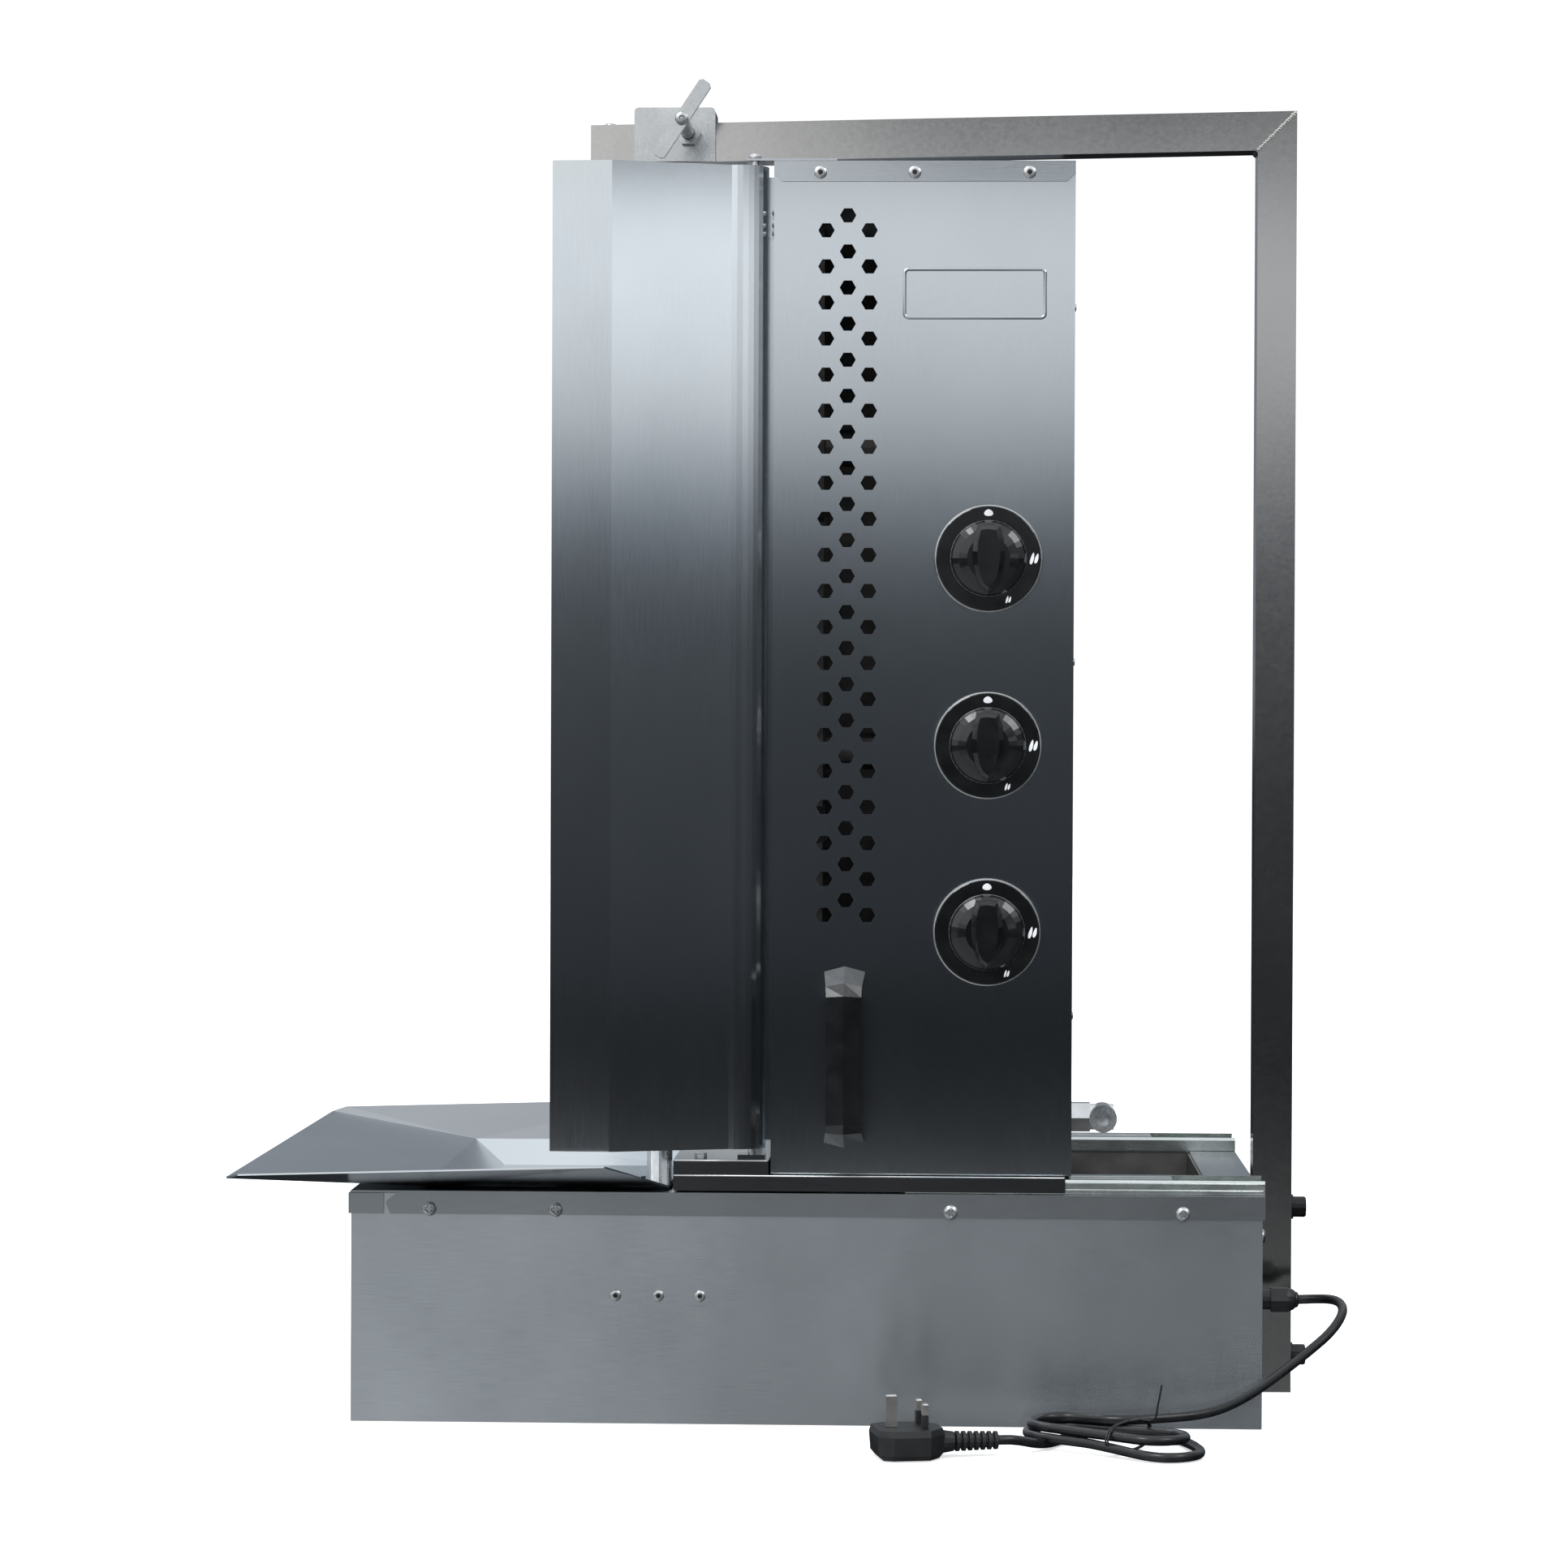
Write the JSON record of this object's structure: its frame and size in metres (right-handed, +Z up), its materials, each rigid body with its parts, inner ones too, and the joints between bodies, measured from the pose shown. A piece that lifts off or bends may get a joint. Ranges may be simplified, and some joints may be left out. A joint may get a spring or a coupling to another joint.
{
  "type": "rotisserie oven",
  "caption": "Upright gas doner grill: burner carriage on slides with hinged wind doors, a vertical spit, a catch pan, a square-tube mast and a mains lead.",
  "frame": {"origin": "centre of the base box's underside", "axes": "+X towards the mast at the rear, -X the operator's side, -Y the control side with the knobs and handle, +Z up"},
  "size_m": [0.8155, 0.6524, 0.9981],
  "materials": {
    "brushed_sheet": "vertically brushed stainless sheet",
    "satin_tube": "dull satin stainless tube",
    "bright_steel": "plain bright stainless",
    "zinc": "bright zinc plate",
    "galvanised": "zinc-plated ball slide",
    "ceramic": "porous ceramic tile in a steel box",
    "brass": "machined brass",
    "gloss_black": "moulded gloss black",
    "printed_black": "gloss black with white print",
    "gland_black": "moulded nylon",
    "cord_black": "black PVC sheath",
    "plug_black": "moulded black PVC with nickel pins",
    "black_bolt": "black oxide",
    "motor_grey": "grey enamel"
  },
  "bodies": {
    "base": {"base_shell": "brushed_sheet", "base_floor": "brushed_sheet", "deck_plate": "brushed_sheet", "rim_front": "brushed_sheet", "well_liner": "brushed_sheet", "motor_shelf": "brushed_sheet", "gear_motor": "motor_grey", "slide_outer_right": "galvanised", "slide_outer_left": "galvanised", "mast_frame": "satin_tube", "mast_pad": "satin_tube", "mast_bolt_upper": "black_bolt", "mast_bolt_lower": "black_bolt", "cable_gland": "gland_black", "cord_lead": "cord_black", "cord_hank": "cord_black", "cord_tail": "cord_black", "mains_plug": "plug_black"},
    "pan": {"catch_pan": "brushed_sheet"},
    "spit": {"drive_shaft": "bright_steel", "spit_rod": "bright_steel", "spit_disc": "bright_steel"},
    "carriage": {"sled_plate": "brushed_sheet", "carriage_ledge": "brushed_sheet", "slide_inner_right": "galvanised", "slide_inner_left": "galvanised", "burner_side_right": "brushed_sheet", "burner_side_left": "brushed_sheet", "badge_frame": "brushed_sheet", "burner_rear": "brushed_sheet", "burner_front": "brushed_sheet", "burner_cover": "brushed_sheet", "burner_1": "ceramic", "burner_2": "ceramic", "burner_3": "ceramic", "gas_manifold": "brass", "gas_elbow": "zinc", "hinge_plate_right": "brushed_sheet", "hinge_plate_left": "brushed_sheet", "handle": "gloss_black"},
    "right_door": {"door_right": "brushed_sheet", "door_pin_right": "bright_steel"},
    "left_door": {"door_left": "brushed_sheet", "door_pin_left": "bright_steel"},
    "top_bracket": {"top_saddle": "brushed_sheet", "centre_pin": "bright_steel", "clamp_nut": "zinc"},
    "clamp": {"clamp_screw": "zinc"},
    "valve_1": {"valve_stem_1": "bright_steel"},
    "dial_1": {"knob_1": "gloss_black", "knob_skirt_1": "printed_black"},
    "valve_2": {"valve_stem_2": "bright_steel"},
    "dial_2": {"knob_2": "gloss_black", "knob_skirt_2": "printed_black"},
    "valve_3": {"valve_stem_3": "bright_steel"},
    "dial_3": {"knob_3": "gloss_black", "knob_skirt_3": "printed_black"}
  },
  "joints": [
    {"name": "spit_spin", "type": "hinge", "parent": "base", "child": "spit", "pos_m": [-0.12, 0, 0.2], "axis": [0, 0, 1], "continuous": true},
    {"name": "pan_lift", "type": "slide", "parent": "base", "child": "pan", "axis": [0, 0, 1], "range_m": [0, 0.015]},
    {"name": "carriage_slide", "type": "slide", "parent": "base", "child": "carriage", "axis": [1, 0, 0], "range_m": [0, 0.067]},
    {"name": "right_door_hinge", "type": "hinge", "parent": "carriage", "child": "right_door", "pos_m": [-0.04, -0.186, 0.5], "axis": [0, 0, 1], "range_deg": [-45, 70]},
    {"name": "left_door_hinge", "type": "hinge", "parent": "carriage", "child": "left_door", "pos_m": [-0.04, 0.186, 0.5], "axis": [0, 0, -1], "range_deg": [-45, 70]},
    {"name": "bracket_lift", "type": "slide", "parent": "base", "child": "top_bracket", "axis": [0, 0, 1], "range_m": [0, 0.035]},
    {"name": "clamp_turn", "type": "hinge", "parent": "top_bracket", "child": "clamp", "pos_m": [-0.099, -0.06, 0.9685], "axis": [0, 1, 0], "range_deg": [-360, 0]},
    {"name": "knob_push_1", "type": "slide", "parent": "carriage", "child": "valve_1", "axis": [0, 1, 0], "range_m": [0, 0.004], "stiffness_N_per_m": 800},
    {"name": "knob_turn_1", "type": "hinge", "parent": "valve_1", "child": "dial_1", "pos_m": [0.132, -0.2, 0.3617], "axis": [0, -1, 0], "range_deg": [0, 150]},
    {"name": "knob_push_2", "type": "slide", "parent": "carriage", "child": "valve_2", "axis": [0, 1, 0], "range_m": [0, 0.004], "stiffness_N_per_m": 800},
    {"name": "knob_turn_2", "type": "hinge", "parent": "valve_2", "child": "dial_2", "pos_m": [0.132, -0.2, 0.4984], "axis": [0, -1, 0], "range_deg": [0, 150]},
    {"name": "knob_push_3", "type": "slide", "parent": "carriage", "child": "valve_3", "axis": [0, 1, 0], "range_m": [0, 0.004], "stiffness_N_per_m": 800},
    {"name": "knob_turn_3", "type": "hinge", "parent": "valve_3", "child": "dial_3", "pos_m": [0.132, -0.2, 0.6351], "axis": [0, -1, 0], "range_deg": [0, 150]}
  ]
}
